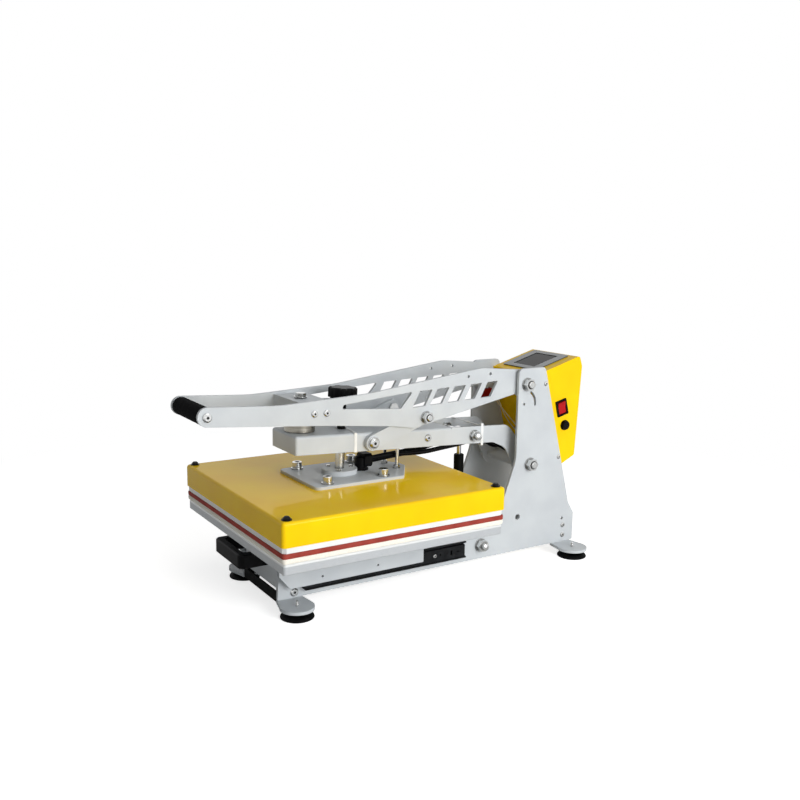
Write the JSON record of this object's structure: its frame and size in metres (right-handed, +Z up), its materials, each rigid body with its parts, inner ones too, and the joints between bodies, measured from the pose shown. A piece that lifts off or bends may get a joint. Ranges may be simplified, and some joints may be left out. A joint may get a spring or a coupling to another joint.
{
  "type": "clamshell heat press",
  "caption": "Manual clamshell heat press: hinged heated head on a toggle lever with gas spring, over a padded lower platen on a slide-out drawer, with a rear control box on a two-plate frame.",
  "frame": {"origin": "on the floor plane under the middle of the machine's overall box", "axes": "+X to the operator's right, +Y to the back, +Z up; the operator stands at -Y"},
  "size_m": [0.39, 0.739, 0.3644],
  "materials": {
    "paint_grey": "light grey powder coat, satin",
    "paint_yellow": "glossy yellow enamel",
    "steel_black": "black coated steel",
    "zinc": "bright zinc plate",
    "aluminium_cast": "cast aluminium, machined face",
    "foam": "cream heat-resistant sponge",
    "silicone": "red-brown silicone rubber",
    "grip_foam": "closed-cell foam grip",
    "foot_rubber": "moulded rubber",
    "plastic_black": "moulded plastic, fine grain",
    "plastic_red": "red switch plastic",
    "plastic_grey": "light grey moulded plastic",
    "plastic_dark_red": "dark red phenolic plastic",
    "plastic_white": "natural nylon",
    "screen": "dark screen glass",
    "magnet_steel": "turned steel",
    "cable_black": "black silicone cable sheath",
    "wire_cream": "cream wire insulation"
  },
  "bodies": {
    "base": {"base_plate_right": "paint_grey", "base_plate_left": "paint_grey", "front_crossbar": "steel_black", "rear_crossplate": "paint_grey", "frame_screws": "zinc", "pivot_pins": "zinc", "pivot_nuts": "zinc", "pivot_spacers": "paint_grey", "slide_outers": "steel_black", "control_box": "paint_yellow", "box_rear_cover": "paint_yellow", "screen_bezel": "plastic_grey", "touch_screen": "screen", "panel_fittings": "plastic_black", "power_gland": "plastic_black", "cables_tail": "cable_black", "signal_wires": "wire_cream", "limit_switch": "plastic_dark_red"},
    "slide_middles": {"slide_middles": "steel_black"},
    "drawer": {"slide_inners": "steel_black", "drawer_carriage": "paint_grey", "drawer_handle": "plastic_black", "drawer_screws": "zinc", "lower_platen": "aluminium_cast", "foam_layer": "foam", "silicone_pad": "silicone"},
    "arm": {"press_arm": "paint_grey", "spindle_nut": "paint_grey", "arm_screws": "zinc", "cable_ties": "plastic_white", "cables_arm": "cable_black"},
    "lever": {"lever_plate_right": "paint_grey", "lever_plate_left": "paint_grey", "lever_pivot_tube": "paint_grey", "cross_bracket": "paint_grey", "electromagnet": "magnet_steel", "handle_tube": "magnet_steel", "handle_grip": "grip_foam", "lever_screws": "zinc"},
    "links": {"link_plates": "paint_grey", "link_pins": "zinc"},
    "gas_cylinder": {"gas_cylinder": "steel_black"},
    "gas_rod": {"gas_rod": "zinc"},
    "head": {"mounting_plate": "paint_grey", "hub_flange": "paint_grey", "plate_bolts": "zinc", "guide_rods": "zinc", "heat_cover": "paint_yellow", "cover_knobs": "plastic_black", "heat_platen": "aluminium_cast", "heater_elbow": "plastic_black", "cables_head": "cable_black"},
    "knob": {"pressure_spindle": "zinc", "pressure_knob": "plastic_black"},
    "rocker": {"power_rocker": "plastic_red"},
    "fuse_cap": {"fuse_cap": "plastic_black"},
    "foot_front_right": {"foot_front_right": "foot_rubber"},
    "foot_front_left": {"foot_front_left": "foot_rubber"},
    "foot_rear_right": {"foot_rear_right": "foot_rubber"},
    "foot_rear_left": {"foot_rear_left": "foot_rubber"}
  },
  "joints": [
    {"name": "arm_hinge", "type": "hinge", "parent": "base", "child": "arm", "pos_m": [0, 0.2436, 0.1762], "axis": [-1, 0, 0], "range_deg": [0, 40]},
    {"name": "lever_hinge", "type": "hinge", "parent": "base", "child": "lever", "pos_m": [0, 0.231, 0.322], "axis": [-1, 0, 0], "range_deg": [0, 70.11]},
    {"name": "link_hinge", "type": "hinge", "parent": "lever", "child": "links", "pos_m": [0, 0.024, 0.28], "axis": [1, 0, 0], "range_deg": [0, 92.97]},
    {"name": "gas_cylinder_hinge", "type": "hinge", "parent": "base", "child": "gas_cylinder", "pos_m": [0, 0.1375, 0.043], "axis": [-1, 0, 0], "range_deg": [0, 14.4]},
    {"name": "gas_rod_slide", "type": "slide", "parent": "gas_cylinder", "child": "gas_rod", "axis": [0, -0.0078, 1], "range_m": [0, 0.06293]},
    {"name": "platen_lift", "type": "slide", "parent": "arm", "child": "head", "axis": [0, 0.0471, 0.9989], "range_m": [0, 0.012]},
    {"name": "knob_turn", "type": "hinge", "parent": "head", "child": "knob", "pos_m": [0, -0.107, 0.1967], "axis": [0, 0.0471, 0.9989], "range_deg": [0, 2160.01]},
    {"name": "drawer_slide", "type": "slide", "parent": "base", "child": "drawer", "axis": [0, -1, 0], "range_m": [0, 0.3]},
    {"name": "middle_slide", "type": "slide", "parent": "base", "child": "slide_middles", "axis": [0, -1, 0], "range_m": [0, 0.15]},
    {"name": "rocker_tilt", "type": "hinge", "parent": "base", "child": "rocker", "pos_m": [0.0622, 0.3187, 0.272], "axis": [0, -0.9681, -0.2504], "range_deg": [0, 16]},
    {"name": "fuse_cap_turn", "type": "hinge", "parent": "base", "child": "fuse_cap", "pos_m": [0.0642, 0.3274, 0.2389], "axis": [1, 0, 0], "range_deg": [-90, 0]},
    {"name": "foot_front_right_turn", "type": "hinge", "parent": "base", "child": "foot_front_right", "pos_m": [0.1013, -0.234, 0.013], "axis": [0, 0, 1], "continuous": true},
    {"name": "foot_rear_right_turn", "type": "hinge", "parent": "base", "child": "foot_rear_right", "pos_m": [0.1013, 0.325, 0.013], "axis": [0, 0, 1], "continuous": true},
    {"name": "foot_front_left_turn", "type": "hinge", "parent": "base", "child": "foot_front_left", "pos_m": [-0.1013, -0.234, 0.013], "axis": [0, 0, 1], "continuous": true},
    {"name": "foot_rear_left_turn", "type": "hinge", "parent": "base", "child": "foot_rear_left", "pos_m": [-0.1013, 0.325, 0.013], "axis": [0, 0, 1], "continuous": true}
  ],
  "couplings": [
    {"joint": "lever_hinge", "follows": "arm_hinge", "ratio": 1.7527},
    {"joint": "link_hinge", "follows": "arm_hinge", "ratio": 2.3244},
    {"joint": "gas_cylinder_hinge", "follows": "arm_hinge", "ratio": 0.36001},
    {"joint": "gas_rod_slide", "follows": "arm_hinge", "m_per_rad": 0.090131},
    {"joint": "knob_turn", "follows": "platen_lift", "rad_per_m": 3141.6},
    {"joint": "middle_slide", "follows": "drawer_slide", "ratio": 0.5}
  ]
}
